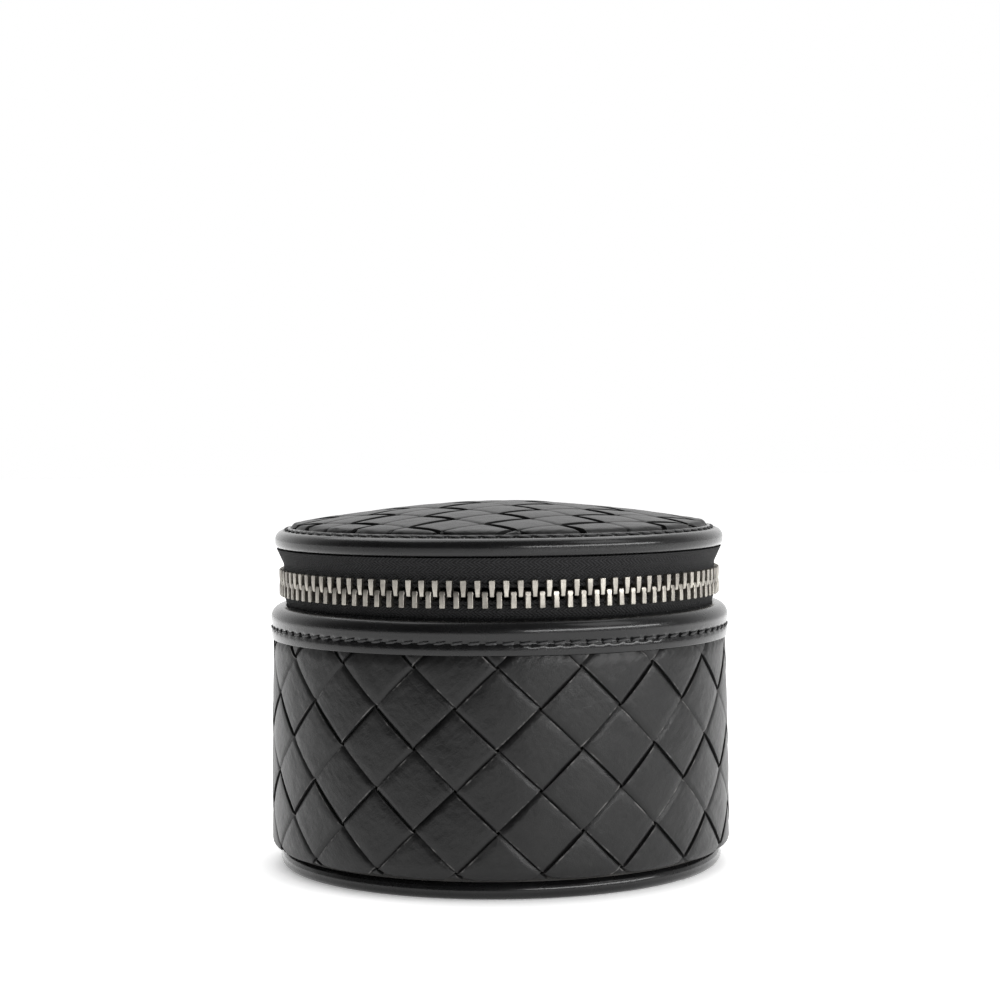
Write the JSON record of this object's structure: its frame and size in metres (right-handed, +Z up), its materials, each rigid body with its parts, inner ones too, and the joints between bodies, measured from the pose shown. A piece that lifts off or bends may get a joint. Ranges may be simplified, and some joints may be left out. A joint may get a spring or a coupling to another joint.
{
  "type": "jewellery case",
  "caption": "Round zipped travel case in woven leather with a hinged padded lid, piped edges, stitched binding, suede-lined compartments and ring rolls.",
  "frame": {"origin": "centre of the underside, on the surface that the case stands on", "axes": "+Z up through the lid, -Y to the front, +Y to the hinge, +X to the right seen from the front"},
  "size_m": [0.08, 0.0805, 0.0631],
  "materials": {
    "black_leather": "satin, fine grain",
    "woven_leather": "satin, woven strips",
    "board": "stiff fibre board",
    "cord": "twisted cotton",
    "suede": "short nap microsuede",
    "foam": "soft foam",
    "thread": "waxed thread",
    "zip_tape": "herringbone twill",
    "zip_metal": "aged nickel",
    "slider_metal": "aged nickel"
  },
  "bodies": {
    "case": {"base_leather": "black_leather", "base_board": "board", "piping_leather": "black_leather", "piping_cord": "cord", "woven_wall": "woven_leather", "wall_board": "board", "wall_lining": "suede", "collar": "black_leather", "collar_stitching": "thread", "zip_tape_lower": "zip_tape", "zip_bead_lower": "zip_tape", "zip_teeth_lower": "zip_metal", "zip_stops_lower": "zip_metal", "hinge_lower": "black_leather", "floor_pad": "suede", "divider_across": "suede", "divider_front": "suede", "ring_bed": "suede", "ring_roll_front": "suede", "ring_roll_middle": "suede", "ring_roll_back": "suede"},
    "lid": {"lid_board": "board", "lid_padding": "foam", "woven_lid": "woven_leather", "lid_rim": "black_leather", "lid_stitching": "thread", "lid_lining": "suede", "zip_tape_upper": "zip_tape", "zip_bead_upper": "zip_tape", "zip_teeth_upper": "zip_metal", "zip_stops_upper": "zip_metal", "hinge_upper": "black_leather"},
    "slider": {"slider_body": "slider_metal", "slider_bridge": "slider_metal"},
    "puller": {"puller": "slider_metal"}
  },
  "joints": [
    {"name": "lid_hinge", "type": "hinge", "parent": "case", "child": "lid", "pos_m": [0, 0.04, 0.04925], "axis": [-1, 0, 0], "range_deg": [0, 105], "deforming": ["zip_tape_upper", "zip_bead_upper", "zip_teeth_upper", "zip_stops_upper"]},
    {"name": "slider_travel", "type": "hinge", "parent": "case", "child": "slider", "pos_m": [0, 0, 0.04925], "axis": [0, 0, 1], "range_deg": [-290, 0], "deforming": ["zip_tape_lower", "zip_bead_lower", "zip_teeth_lower", "zip_stops_lower", "zip_tape_upper", "zip_bead_upper", "zip_teeth_upper", "zip_stops_upper"]},
    {"name": "puller_swing", "type": "hinge", "parent": "slider", "child": "puller", "pos_m": [0.02314, 0.03305, 0.04925], "axis": [0, 0, -1], "range_deg": [0, 175]}
  ]
}
